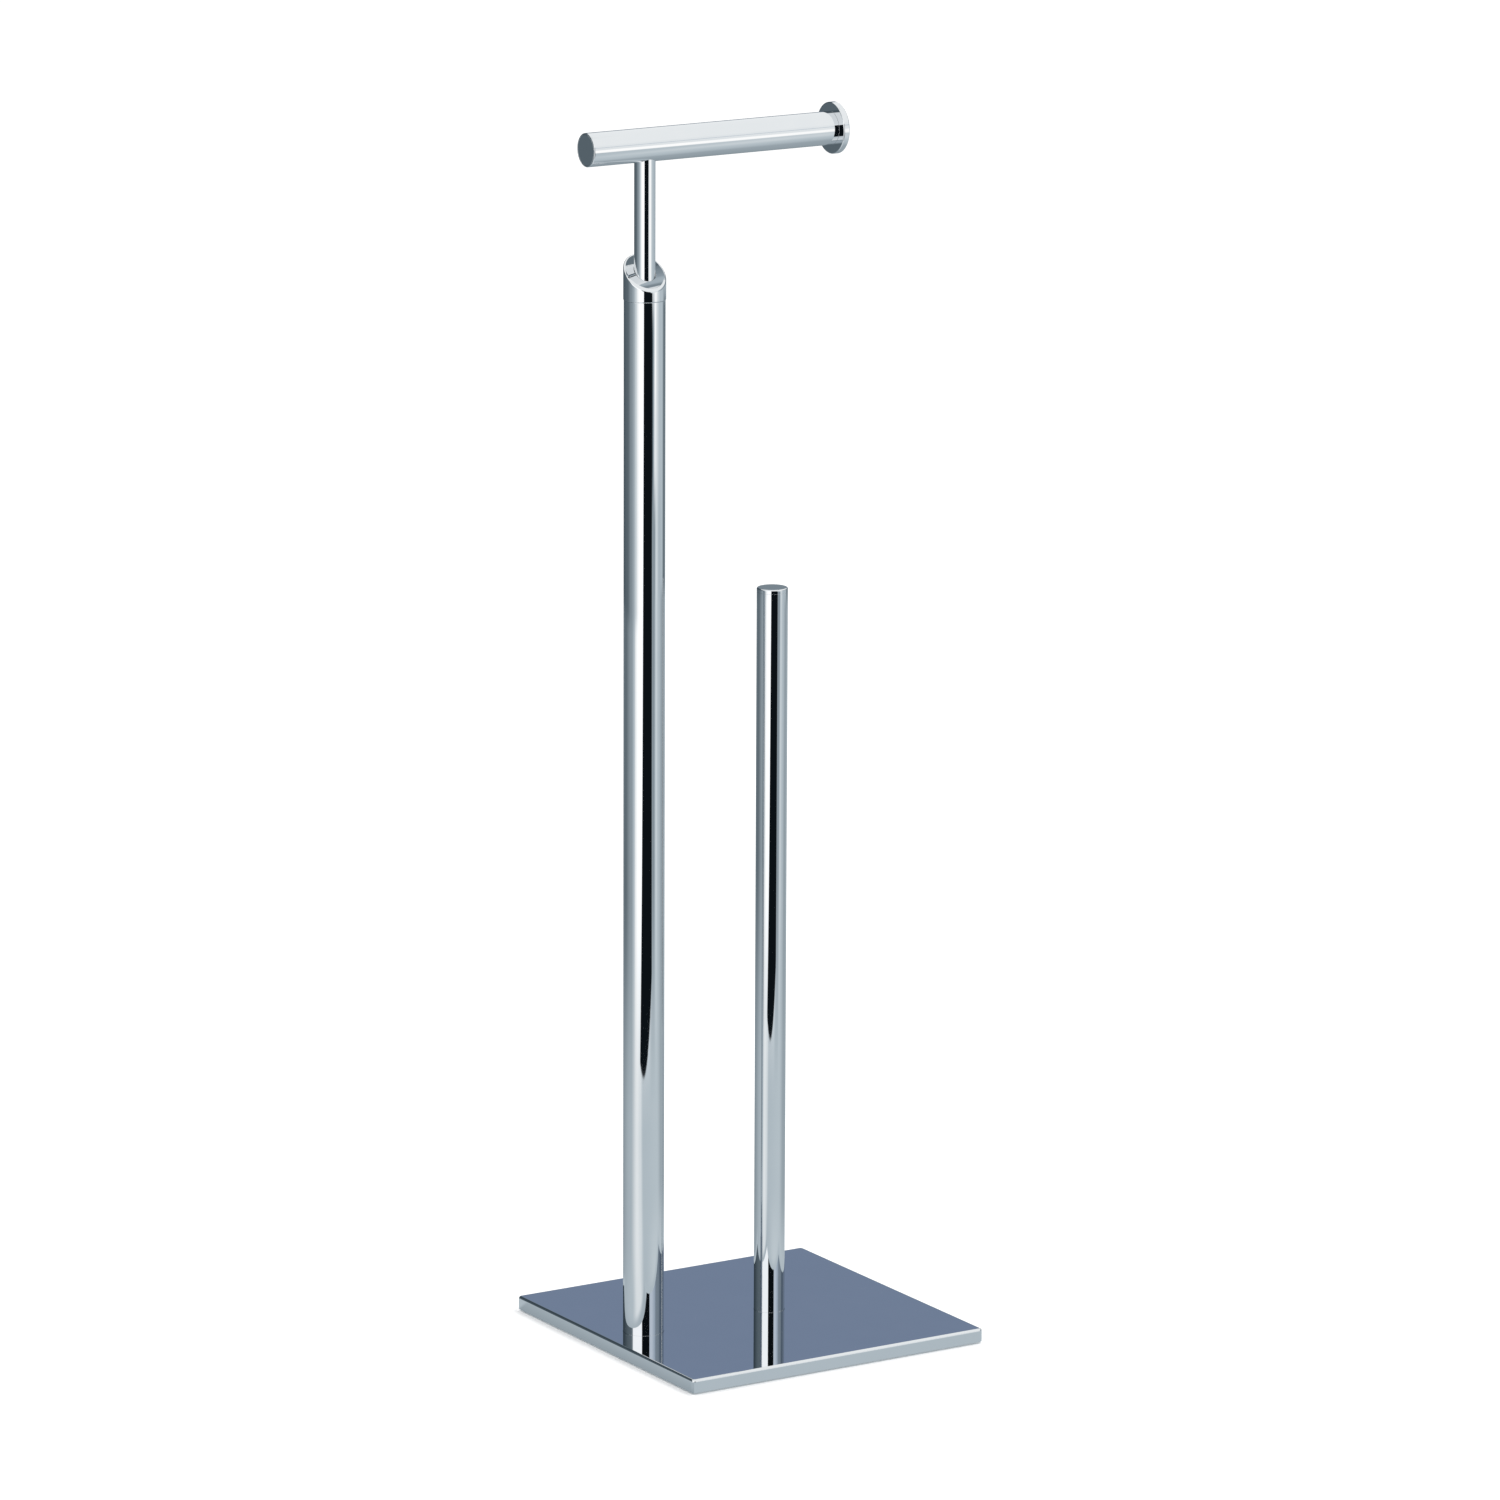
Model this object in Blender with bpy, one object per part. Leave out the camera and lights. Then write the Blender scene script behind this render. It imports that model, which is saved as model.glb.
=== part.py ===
"""Freestanding toilet paper holder with a spare roll post.

Metres, +Z up. Front is -Y, the roll arm runs along X with its stop disc
at +X. The origin is on the floor, in the middle of the whole footprint.
The arm's closed end overhangs the plate by 12 mm on the left, so the
plate's centre lies 6 mm right of the origin.
"""
import math

import bmesh
import bpy
from mathutils import Matrix, Vector

MM = 0.001
GAP = 0.3 * MM                 # clearance between neighbouring pieces

# ---------------------------------------------------------------- base plate
PLATE_SIDE = 200.0 * MM
PLATE_T = 8.0 * MM
PLATE_CX = 6.0 * MM            # plate centre, right of the origin
PLATE_Z0 = 1.0 * MM            # underside, carried by the feet
PLATE_Z1 = PLATE_Z0 + PLATE_T
PLATE_CORNER_R = 2.5 * MM
PLATE_TOP_EDGE = 1.5 * MM
PLATE_LOW_EDGE = 0.5 * MM

PAD_R = 8.0 * MM
PAD_T = 2.0 * MM
PAD_INSET = 18.0 * MM          # pad centre from the plate's edge

# ---------------------------------------------------------------- main post
POST_X = PLATE_CX - 72.9 * MM
TUBE_R = 12.0 * MM
TUBE_WALL = 1.5 * MM
RECESS_T = 0.9 * MM            # both posts stand in shallow round recesses
TUBE_Z0 = PLATE_Z1 - RECESS_T + GAP
SEAM_Z = 622.2 * MM            # collar's lower edge

COLLAR_R = 12.3 * MM
COLLAR_FACE_R = 10.85 * MM     # flat part of the slanted face
COLLAR_FACE_Z = 638.25 * MM    # slanted face at the post's axis
COLLAR_TILT = math.radians(36.4)
COLLAR_TURN = math.radians(-8.0)   # the slope faces the front, turned a little to the left
COLLAR_ROUND = 1.4 * MM        # height of the rounded rim
SPIGOT_Z0 = 594.0 * MM
COUNTERBORE_R = 8.6 * MM
COUNTERBORE_Z = 616.0 * MM

# ---------------------------------------------------------------- stem, arm
STEM_R = 6.1 * MM
STEM_TAIL_R = 5.0 * MM
STEM_Z0 = 592.0 * MM
SHOULDER_Z0 = 611.4 * MM
SHOULDER_Z1 = 614.4 * MM

ARM_Z = 711.2 * MM
ARM_R = 9.75 * MM
ARM_WALL = 1.5 * MM
ARM_X0 = -106.0 * MM           # closed end
FLANGE_X0 = 57.9 * MM          # inner face of the stop disc
FLANGE_T = 4.0 * MM
FLANGE_R = 15.0 * MM

# ---------------------------------------------------------------- spare post
SPARE_X = PLATE_CX + 14.0 * MM
SPARE_R = 9.1 * MM
SPARE_WALL = 1.2 * MM
SPARE_Z1 = 445.1 * MM          # top of the cap
SPARE_CAP_T = 2.5 * MM

# ---------------------------------------------------------------- fasteners
M8 = 4.0 * MM                  # thread radii
M6 = 3.0 * MM
M4 = 2.0 * MM

SEGS = 48                      # facets round the visible turned pieces
SEGS_IN = 32                   # facets round the inner ones


def clear_scene():
    for ob in list(bpy.data.objects):
        bpy.data.objects.remove(ob, do_unlink=True)


def material(name, colour, roughness, metallic):
    mat = bpy.data.materials.new(name)
    mat.use_nodes = True
    bsdf = mat.node_tree.nodes["Principled BSDF"]
    bsdf.inputs["Base Color"].default_value = (*colour, 1.0)
    bsdf.inputs["Roughness"].default_value = roughness
    bsdf.inputs["Metallic"].default_value = metallic
    mat.diffuse_color = (*colour, 1.0)
    return mat


def chrome(name):
    return material(name + "_chrome", (0.78, 0.80, 0.82), 0.04, 1.0)


def zinc(name):
    return material(name + "_zinc", (0.55, 0.56, 0.58), 0.35, 1.0)


def brass(name):
    return material(name + "_brass", (0.72, 0.55, 0.26), 0.30, 1.0)


def nylon(name):
    return material(name + "_nylon", (0.82, 0.81, 0.77), 0.50, 0.0)


def rubber(name):
    return material(name + "_rubber", (0.03, 0.03, 0.032), 0.75, 0.0)


def new_object(name, mesh, mat, parent=None, location=(0, 0, 0), rotation=(0, 0, 0)):
    ob = bpy.data.objects.new(name, mesh)
    bpy.context.scene.collection.objects.link(ob)
    if mat is not None:
        mesh.materials.append(mat)
    ob.location = location
    ob.rotation_euler = rotation
    if parent is not None:
        ob.parent = parent
        ob.location = Vector(location) - parent.location
    return ob


def smooth(mesh, angle=35.0):
    mesh.shade_smooth()
    mesh.set_sharp_from_angle(angle=math.radians(angle))


def arc(cx, cz, rx, rz, a0, a1, steps):
    """Points of an elliptical arc from angle a0 to a1, in degrees."""
    out = []
    for i in range(steps + 1):
        a = math.radians(a0 + (a1 - a0) * i / steps)
        out.append((cx + rx * math.cos(a), cz + rz * math.sin(a)))
    return out


def turned_mesh(name, profile, segs):
    """Closed outline of (radius, height) points turned once about Z."""
    bm = bmesh.new()
    ring = [bm.verts.new((r, 0.0, z)) for r, z in profile]
    edges = [bm.edges.new((ring[i], ring[(i + 1) % len(ring)]))
             for i in range(len(ring))
             if not (profile[i][0] == 0.0 and profile[(i + 1) % len(ring)][0] == 0.0)]
    bmesh.ops.spin(bm, geom=ring + edges, cent=(0, 0, 0), axis=(0, 0, 1),
                   angle=2 * math.pi, steps=segs, use_duplicate=False)
    bmesh.ops.remove_doubles(bm, verts=bm.verts[:], dist=1e-6)
    bmesh.ops.recalc_face_normals(bm, faces=bm.faces[:])
    mesh = bpy.data.meshes.new(name)
    bm.to_mesh(mesh)
    bm.free()
    if signed_volume(mesh) < 0:
        mesh.flip_normals()
    smooth(mesh)
    return mesh


def signed_volume(mesh):
    vol = 0.0
    mesh.calc_loop_triangles()
    for tri in mesh.loop_triangles:
        a, b, c = (mesh.vertices[i].co for i in tri.vertices)
        vol += a.dot(b.cross(c))
    return vol / 6.0


def cutter(name, mesh, target, location=(0, 0, 0), rotation=(0, 0, 0)):
    """A hidden solid that a Boolean takes away from the target."""
    ob = new_object(name, mesh, None, None, location, rotation)
    ob.hide_render = True
    ob.display_type = 'WIRE'
    mod = target.modifiers.new(name, 'BOOLEAN')
    mod.operation = 'DIFFERENCE'
    mod.solver = 'EXACT'
    mod.object = ob
    return ob


def rod_mesh(name, radius, z0, z1, segs=SEGS_IN, edge=0.0):
    """Plain round bar from z0 to z1, with its edges broken by edge."""
    if edge > 0:
        prof = [(0.0, z0), (radius - edge, z0), (radius, z0 + edge),
                (radius, z1 - edge), (radius - edge, z1), (0.0, z1)]
    else:
        prof = [(0.0, z0), (radius, z0), (radius, z1), (0.0, z1)]
    return turned_mesh(name, prof, segs)


def ring_mesh(name, r_in, r_out, z0, z1, segs=SEGS_IN, edge=0.0):
    e = edge
    prof = [(r_in, z0), (r_out - e, z0), (r_out, z0 + e), (r_out, z1 - e),
            (r_out - e, z1), (r_in, z1)] if e > 0 else \
           [(r_in, z0), (r_out, z0), (r_out, z1), (r_in, z1)]
    return turned_mesh(name, prof, segs)


def hex_mesh(name, across_flats, z0, z1):
    """Hexagonal bar from z0 to z1."""
    bm = bmesh.new()
    r = across_flats / 2 / math.cos(math.pi / 6)
    low = [bm.verts.new((r * math.cos(math.pi / 3 * i), r * math.sin(math.pi / 3 * i), z0))
           for i in range(6)]
    face = bm.faces.new(low)
    ext = bmesh.ops.extrude_face_region(bm, geom=[face])
    bmesh.ops.translate(bm, vec=(0, 0, z1 - z0),
                        verts=[g for g in ext["geom"] if isinstance(g, bmesh.types.BMVert)])
    bmesh.ops.recalc_face_normals(bm, faces=bm.faces[:])
    mesh = bpy.data.meshes.new(name)
    bm.to_mesh(mesh)
    bm.free()
    return mesh


def box_mesh(name, sx, sy, sz):
    bm = bmesh.new()
    bmesh.ops.create_cube(bm, size=1.0)
    bmesh.ops.scale(bm, vec=(sx, sy, sz), verts=bm.verts[:])
    mesh = bpy.data.meshes.new(name)
    bm.to_mesh(mesh)
    bm.free()
    return mesh


# ------------------------------------------------------------------- stand
def base_plate(stand):
    bm = bmesh.new()
    bmesh.ops.create_cube(bm, size=1.0)
    bmesh.ops.scale(bm, vec=(PLATE_SIDE, PLATE_SIDE, PLATE_T), verts=bm.verts[:])
    bmesh.ops.translate(bm, vec=(0, 0, PLATE_Z0 + PLATE_T / 2), verts=bm.verts[:])
    upright = [e for e in bm.edges if abs(e.verts[0].co.z - e.verts[1].co.z) > PLATE_T / 2]
    bmesh.ops.bevel(bm, geom=upright, offset=PLATE_CORNER_R, offset_type='OFFSET',
                    segments=5, profile=0.5, affect='EDGES')
    top = [e for e in bm.edges if min(v.co.z for v in e.verts) > PLATE_Z1 - 1e-6]
    bmesh.ops.bevel(bm, geom=top, offset=PLATE_TOP_EDGE, offset_type='OFFSET',
                    segments=4, profile=0.5, affect='EDGES')
    low = [e for e in bm.edges if max(v.co.z for v in e.verts) < PLATE_Z0 + 1e-6]
    bmesh.ops.bevel(bm, geom=low, offset=PLATE_LOW_EDGE, offset_type='OFFSET',
                    segments=1, profile=0.5, affect='EDGES')
    bmesh.ops.recalc_face_normals(bm, faces=bm.faces[:])
    mesh = bpy.data.meshes.new("base_plate")
    bm.to_mesh(mesh)
    bm.free()
    smooth(mesh, 30.0)
    plate = new_object("base_plate", mesh, chrome("base_plate"), stand, (PLATE_CX, 0, 0))
    # for each post a countersunk hole, open to the underside, and a recess on top that locates the tube
    for tag, x, shank, head, tube_r in (("post", POST_X, M8, 2 * M8, TUBE_R),
                                        ("spare", SPARE_X, M6, 2 * M6, SPARE_R)):
        c = GAP * math.sqrt(2)
        cone = head - shank
        floor = PLATE_Z1 - RECESS_T
        prof = [(0.0, PLATE_Z0 - 1 * MM), (head + c, PLATE_Z0 - 1 * MM),
                (head + c, PLATE_Z0 + 0.6 * MM),
                (shank + GAP, PLATE_Z0 + 0.6 * MM + cone + c - GAP),
                (shank + GAP, floor), (tube_r + GAP, floor),
                (tube_r + GAP, PLATE_Z1 + 1 * MM), (0.0, PLATE_Z1 + 1 * MM)]
        cutter("cut_%s_screw_hole" % tag, turned_mesh("cut_%s_screw_hole" % tag, prof, SEGS),
               plate, (x, 0, 0))
    # shallow round pockets for the feet
    pocket = rod_mesh("cut_pad_pocket", PAD_R + GAP, PLATE_Z0 - 1 * MM, PAD_T + GAP, 32)
    for i, (sx, sy) in enumerate(((-1, -1), (1, -1), (-1, 1), (1, 1))):
        d = PLATE_SIDE / 2 - PAD_INSET
        cutter("cut_pad_pocket_%d" % i, pocket, plate, (PLATE_CX + sx * d, sy * d, 0))
    return plate


def foot_pads(stand):
    d = PLATE_SIDE / 2 - PAD_INSET
    e = 0.4 * MM
    prof = [(0.0, 0.0), (PAD_R - e, 0.0), (PAD_R, e), (PAD_R, PAD_T), (0.0, PAD_T)]
    for tag, sx, sy in (("front_left", -1, -1), ("front_right", 1, -1),
                        ("rear_left", -1, 1), ("rear_right", 1, 1)):
        name = "foot_pad_" + tag
        new_object(name, turned_mesh(name, prof, 32), rubber(name), stand,
                   (PLATE_CX + sx * d, sy * d, 0))


def base_screw(name, x, shank, length_top, socket, stand):
    """Countersunk socket screw, head down in the plate's underside."""
    head = 2 * shank
    z0 = PLATE_Z0 + 0.6 * MM
    prof = [(0.0, z0), (head, z0), (shank, z0 + head - shank),
            (shank, length_top - 0.6 * MM), (shank - 0.6 * MM, length_top), (0.0, length_top)]
    ob = new_object(name, turned_mesh(name, prof, SEGS_IN), zinc(name), stand, (x, 0, 0))
    depth = 0.7 * shank
    cutter("cut_%s_socket" % name, hex_mesh("cut_%s_socket" % name, socket, z0 - 1 * MM, z0 + depth),
           ob, (x, 0, 0))
    return ob


def foot_plug(name, x, bore, hole, top, stand):
    e = 0.8 * MM
    r = bore - GAP
    prof = [(hole, TUBE_Z0), (r, TUBE_Z0), (r, top - e), (r - e, top), (hole, top)]
    return new_object(name, turned_mesh(name, prof, SEGS_IN), zinc(name), stand, (x, 0, 0))


def post_tube(stand):
    z1 = SEAM_Z - GAP
    r_in = TUBE_R - TUBE_WALL
    prof = [(r_in, TUBE_Z0), (TUBE_R, TUBE_Z0), (TUBE_R, z1), (r_in, z1)]
    tube = new_object("post_tube", turned_mesh("post_tube", prof, SEGS), chrome("post_tube"),
                      stand, (POST_X, 0, 0))
    # hole at the back for the set screw
    cutter("cut_tube_grub_hole", rod_mesh("cut_tube_grub_hole", M4 + GAP, 0, 6 * MM, 24), tube,
           (POST_X, 9.0 * MM, 604 * MM), (-math.pi / 2, 0, 0))
    return tube


def collar(stand):
    """Turned head; every ring above the skirt leans with the slanted face."""
    r_sp = TUBE_R - TUBE_WALL - GAP
    bore = STEM_R + GAP
    skirt = 0.3 * MM
    rim = arc(COLLAR_FACE_R, COLLAR_FACE_Z - COLLAR_ROUND, COLLAR_R - COLLAR_FACE_R,
              COLLAR_ROUND, 0.0, 90.0, 6)
    prof = [(bore, COUNTERBORE_Z), (COUNTERBORE_R, COUNTERBORE_Z), (COUNTERBORE_R, SPIGOT_Z0),
            (r_sp - 0.8 * MM, SPIGOT_Z0), (r_sp, SPIGOT_Z0 + 0.8 * MM), (r_sp, SEAM_Z),
            (COLLAR_R - skirt, SEAM_Z), (COLLAR_R, SEAM_Z + skirt)]
    prof += rim + [(bore, COLLAR_FACE_Z)]
    mesh = turned_mesh("collar", prof, SEGS)
    lean = math.tan(COLLAR_TILT)
    low_edge = SEAM_Z + skirt + 1e-6
    for v in mesh.vertices:
        if v.co.z > low_edge:
            v.co.z += lean * v.co.y
    smooth(mesh, 30.0)
    mesh.transform(Matrix.Rotation(COLLAR_TURN, 4, 'Z'))
    ob = new_object("collar", mesh, chrome("collar"), stand, (POST_X, 0, 0))
    cutter("cut_collar_grub_hole", rod_mesh("cut_collar_grub_hole", M4 + GAP, 0, 6 * MM, 24), ob,
           (POST_X, 7.0 * MM, 604 * MM), (-math.pi / 2, 0, 0))
    return ob


def collar_grub_screw(stand):
    """Set screw with a socket, its outer end flush with the tube."""
    name = "collar_grub_screw"
    z0, z1 = 0.0, 2.9 * MM
    e = 0.3 * MM
    prof = [(0.0, z0), (M4 - 0.6 * MM, z0), (M4, z0 + 0.6 * MM), (M4, z1 - e), (M4 - e, z1), (0.0, z1)]
    loc = (POST_X, TUBE_R - 3.1 * MM, 604 * MM)
    ob = new_object(name, turned_mesh(name, prof, 24), zinc(name), stand, loc, (-math.pi / 2, 0, 0))
    cutter("cut_grub_socket", hex_mesh("cut_grub_socket", 2.0 * MM, z1 - 1.6 * MM, z1 + 1 * MM), ob,
           loc, (-math.pi / 2, 0, 0))
    return ob


def swivel_parts(stand):
    r_out = COUNTERBORE_R - GAP
    name = "swivel_thrust_washer"
    new_object(name, ring_mesh(name, STEM_R + GAP, r_out, SHOULDER_Z1 + GAP, COUNTERBORE_Z - GAP),
               nylon(name), stand, (POST_X, 0, 0))
    # wave spring: a flat ring that rises and falls three times round
    name = "swivel_wave_spring"
    bm = bmesh.new()
    n, zc, amp, t = 72, 609.85 * MM, 0.7 * MM, 0.45 * MM
    r0, r1 = STEM_TAIL_R + 0.6 * MM, r_out - 0.1 * MM
    loops = []
    for i in range(n):
        a = 2 * math.pi * i / n
        z = zc + amp * math.sin(3 * a)
        loops.append([bm.verts.new((r * math.cos(a), r * math.sin(a), z + dz))
                      for r, dz in ((r0, -t / 2), (r1, -t / 2), (r1, t / 2), (r0, t / 2))])
    for i in range(n):
        a, b = loops[i], loops[(i + 1) % n]
        for k in range(4):
            bm.faces.new((a[k], a[(k + 1) % 4], b[(k + 1) % 4], b[k]))
    bmesh.ops.recalc_face_normals(bm, faces=bm.faces[:])
    mesh = bpy.data.meshes.new(name)
    bm.to_mesh(mesh)
    bm.free()
    smooth(mesh, 30.0)
    new_object(name, mesh, zinc(name), stand, (POST_X, 0, 0))
    # threaded ring with two spanner slots
    name = "swivel_retainer"
    ob = new_object(name, ring_mesh(name, STEM_TAIL_R + GAP, r_out, 598 * MM, 608.5 * MM, SEGS_IN, 0.5 * MM),
                    brass(name), stand, (POST_X, 0, 0))
    cutter("cut_retainer_slot", box_mesh("cut_retainer_slot", 20 * MM, 2.0 * MM, 4.0 * MM), ob,
           (POST_X, 0, 598 * MM))


def spare_post(stand):
    r_in = SPARE_R - SPARE_WALL
    z1 = SPARE_Z1 - SPARE_CAP_T - GAP
    prof = [(r_in, TUBE_Z0), (SPARE_R, TUBE_Z0), (SPARE_R, z1), (r_in, z1)]
    new_object("spare_post_tube", turned_mesh("spare_post_tube", prof, SEGS),
               chrome("spare_post_tube"), stand, (SPARE_X, 0, 0))
    e = 0.8 * MM
    zc = SPARE_Z1 - SPARE_CAP_T
    r_sp = r_in - GAP
    prof = [(0.0, zc - 11 * MM), (r_sp - 0.8 * MM, zc - 11 * MM), (r_sp, zc - 10.2 * MM), (r_sp, zc),
            (SPARE_R, zc)] + arc(SPARE_R - e, SPARE_Z1 - e, e, e, 0, 90, 4) + [(0.0, SPARE_Z1)]
    new_object("spare_post_cap", turned_mesh("spare_post_cap", prof, SEGS),
               chrome("spare_post_cap"), stand, (SPARE_X, 0, 0))


# --------------------------------------------------------------------- arm
def stem(arm):
    r, rt = STEM_R, STEM_TAIL_R
    top = ARM_Z - 6.0 * MM
    rs = COUNTERBORE_R - GAP
    prof = [(0.0, STEM_Z0), (rt - 0.8 * MM, STEM_Z0), (rt, STEM_Z0 + 0.8 * MM), (rt, SHOULDER_Z0),
            (rs, SHOULDER_Z0), (rs, SHOULDER_Z1), (r, SHOULDER_Z1), (r, top), (0.0, top)]
    ob = new_object("stem", turned_mesh("stem", prof, SEGS), chrome("stem"), arm, (POST_X, 0, 0))
    # saddle under the arm
    cutter("cut_stem_saddle", rod_mesh("cut_stem_saddle", ARM_R + GAP, -20 * MM, 20 * MM, 96), ob,
           (POST_X, 0, ARM_Z), (0, math.pi / 2, 0))
    # tapped hole for the stud
    cutter("cut_stem_tapped_hole", rod_mesh("cut_stem_tapped_hole", M6 + GAP, 685 * MM, 720 * MM, 32),
           ob, (POST_X, 0, 0))
    return ob


def turned_x(name, profile, segs):
    """Turned about X: the outline's second value runs along +X."""
    mesh = turned_mesh(name, profile, segs)
    mesh.transform(Matrix.Rotation(math.pi / 2, 4, 'Y'))
    return mesh


def arm_pieces(arm):
    r_in = ARM_R - ARM_WALL
    mouth = ARM_R - 0.9 * MM
    x1 = FLANGE_X0 - GAP
    edge = 0.6 * MM
    prof = [(r_in, ARM_X0 + 2.3 * MM), (mouth, ARM_X0 + 2.3 * MM), (mouth, ARM_X0), (ARM_R - edge, ARM_X0),
            (ARM_R, ARM_X0 + edge), (ARM_R, x1), (r_in, x1)]
    tube = new_object("arm_tube", turned_x("arm_tube", prof, SEGS), chrome("arm_tube"), arm, (0, 0, ARM_Z))
    cutter("cut_arm_stud_hole", rod_mesh("cut_arm_stud_hole", M6 + GAP, -14 * MM, -5 * MM, 32), tube,
           (POST_X, 0, ARM_Z))

    r = r_in - GAP
    hub = new_object("arm_hub", turned_x("arm_hub", [
        (0.0, -15 * MM), (r - 0.8 * MM, -15 * MM), (r, -14.2 * MM), (r, 14.2 * MM),
        (r - 0.8 * MM, 15 * MM), (0.0, 15 * MM)], SEGS_IN), zinc("arm_hub"), arm, (POST_X, 0, ARM_Z))
    cutter("cut_hub_tapped_hole", rod_mesh("cut_hub_tapped_hole", M6 + GAP, -12 * MM, 5 * MM, 32), hub,
           (POST_X, 0, ARM_Z))
    name = "arm_hub_stud"
    new_object(name, rod_mesh(name, M6, 686 * MM, ARM_Z + 4 * MM, 32, 0.6 * MM), zinc(name), arm,
               (POST_X, 0, 0))

    # closed left end: a disc inside the tube's mouth, on a short spigot
    cap_r = mouth - GAP
    prof = [(0.0, ARM_X0), (cap_r - 0.2 * MM, ARM_X0), (cap_r, ARM_X0 + 0.2 * MM), (cap_r, ARM_X0 + 2.0 * MM),
            (r, ARM_X0 + 2.0 * MM), (r, ARM_X0 + 9.2 * MM), (r - 0.8 * MM, ARM_X0 + 10 * MM),
            (0.0, ARM_X0 + 10 * MM)]
    new_object("arm_end_cap", turned_x("arm_end_cap", prof, SEGS), chrome("arm_end_cap"), arm, (0, 0, ARM_Z))

    # stop disc with a spigot in the tube and a blind tapped hole
    x0, xf = FLANGE_X0, FLANGE_X0 + FLANGE_T
    e = 0.6 * MM
    outer = [(FLANGE_R - e + e * math.sin(math.radians(a)), x0 + e - e * math.cos(math.radians(a)))
             for a in (0, 30, 60, 90)]
    back = [(FLANGE_R - e + e * math.cos(math.radians(a)), xf - e + e * math.sin(math.radians(a)))
            for a in (0, 30, 60, 90)]
    sp0 = x0 - 14 * MM
    prof = [(0.0, x0 + 1.2 * MM), (M6 + GAP, x0 + 0.2 * MM), (M6 + GAP, sp0), (r - 0.8 * MM, sp0),
            (r, sp0 + 0.8 * MM), (r, x0)] + outer + back + [(0.0, xf)]
    new_object("arm_flange", turned_x("arm_flange", prof, SEGS), chrome("arm_flange"), arm, (0, 0, ARM_Z))
    name = "flange_stud"
    mesh = rod_mesh(name, M6, sp0 - 14 * MM, x0 - 0.6 * MM, 32, 0.6 * MM)
    mesh.transform(Matrix.Rotation(math.pi / 2, 4, 'Y'))
    new_object(name, mesh, zinc(name), arm, (0, 0, ARM_Z))
    name = "arm_end_insert"
    ins1 = sp0 - GAP
    prof = [(M6 + GAP, ins1 - 16 * MM), (r - 0.8 * MM, ins1 - 16 * MM), (r, ins1 - 15.2 * MM), (r, ins1),
            (M6 + GAP, ins1)]
    new_object(name, turned_x(name, prof, SEGS_IN), brass(name), arm, (0, 0, ARM_Z))


def main():
    clear_scene()
    stand = bpy.data.objects.new("stand_frame", None)
    bpy.context.scene.collection.objects.link(stand)
    arm = bpy.data.objects.new("arm_pivot", None)
    bpy.context.scene.collection.objects.link(arm)
    arm.location = (POST_X, 0, 0)          # on the swivel's upright axis
    bpy.context.view_layer.update()

    base_plate(stand)
    foot_pads(stand)
    post_tube(stand)
    foot_plug("post_foot_plug", POST_X, TUBE_R - TUBE_WALL, M8 + GAP, 31.3 * MM, stand)
    base_screw("post_base_screw", POST_X, M8, 27 * MM, 5 * MM, stand)
    collar(stand)
    collar_grub_screw(stand)
    swivel_parts(stand)
    spare_post(stand)
    foot_plug("spare_post_foot_plug", SPARE_X, SPARE_R - SPARE_WALL, M6 + GAP, 29.3 * MM, stand)
    base_screw("spare_post_base_screw", SPARE_X, M6, 25 * MM, 4 * MM, stand)
    stem(arm)
    arm_pieces(arm)
    bpy.context.view_layer.update()


main()
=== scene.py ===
import math

import bmesh
import bpy
from mathutils import Matrix, Vector


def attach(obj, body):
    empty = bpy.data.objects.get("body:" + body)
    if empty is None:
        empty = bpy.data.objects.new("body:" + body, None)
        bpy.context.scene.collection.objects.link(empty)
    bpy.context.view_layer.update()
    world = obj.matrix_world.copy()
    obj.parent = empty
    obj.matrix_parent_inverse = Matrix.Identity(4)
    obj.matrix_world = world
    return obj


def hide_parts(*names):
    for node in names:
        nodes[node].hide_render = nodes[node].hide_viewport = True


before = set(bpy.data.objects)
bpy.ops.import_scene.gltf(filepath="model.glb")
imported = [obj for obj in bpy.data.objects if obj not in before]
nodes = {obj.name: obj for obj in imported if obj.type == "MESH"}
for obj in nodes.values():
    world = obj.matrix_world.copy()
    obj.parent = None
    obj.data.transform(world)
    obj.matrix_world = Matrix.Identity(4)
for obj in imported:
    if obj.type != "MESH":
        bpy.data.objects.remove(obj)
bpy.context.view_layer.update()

MM = 0.001
scene = bpy.context.scene

# ------------------------------------------------------------ sizes, as in the CAD
PLATE_CX = 6.0 * MM
PLATE_HALF = 100.0 * MM
PLATE_Z0 = 1.0 * MM
PLATE_Z1 = 9.0 * MM
PLATE_CORNER = 2.5 * MM
PAD_R = 8.0 * MM
PAD_TOP = 2.0 * MM
PAD_OFF = 82.0 * MM

POST_X = -66.9 * MM
TUBE_R = 12.0 * MM
TUBE_IN = 10.5 * MM
SEAM_Z = 622.2 * MM
COLLAR_R = 12.3 * MM
COLLAR_FACE_R = 10.85 * MM
COLLAR_FACE_Z = 638.25 * MM
COLLAR_TILT = math.radians(36.4)
COLLAR_TURN = math.radians(-8.0)
COLLAR_ROUND = 1.4 * MM

STEM_R = 6.1 * MM
ARM_Z = 711.2 * MM
ARM_R = 9.75 * MM
ARM_IN = 8.25 * MM
ARM_X0 = -106.0 * MM
MOUTH_R = 8.85 * MM
FLANGE_X0 = 57.9 * MM
FLANGE_X1 = 61.9 * MM
FLANGE_R = 15.0 * MM

SPARE_X = 20.0 * MM
SPARE_R = 9.1 * MM
SPARE_IN = 7.9 * MM
SPARE_SEAM = 442.6 * MM
SPARE_Z1 = 445.1 * MM

SEGS = 256


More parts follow.
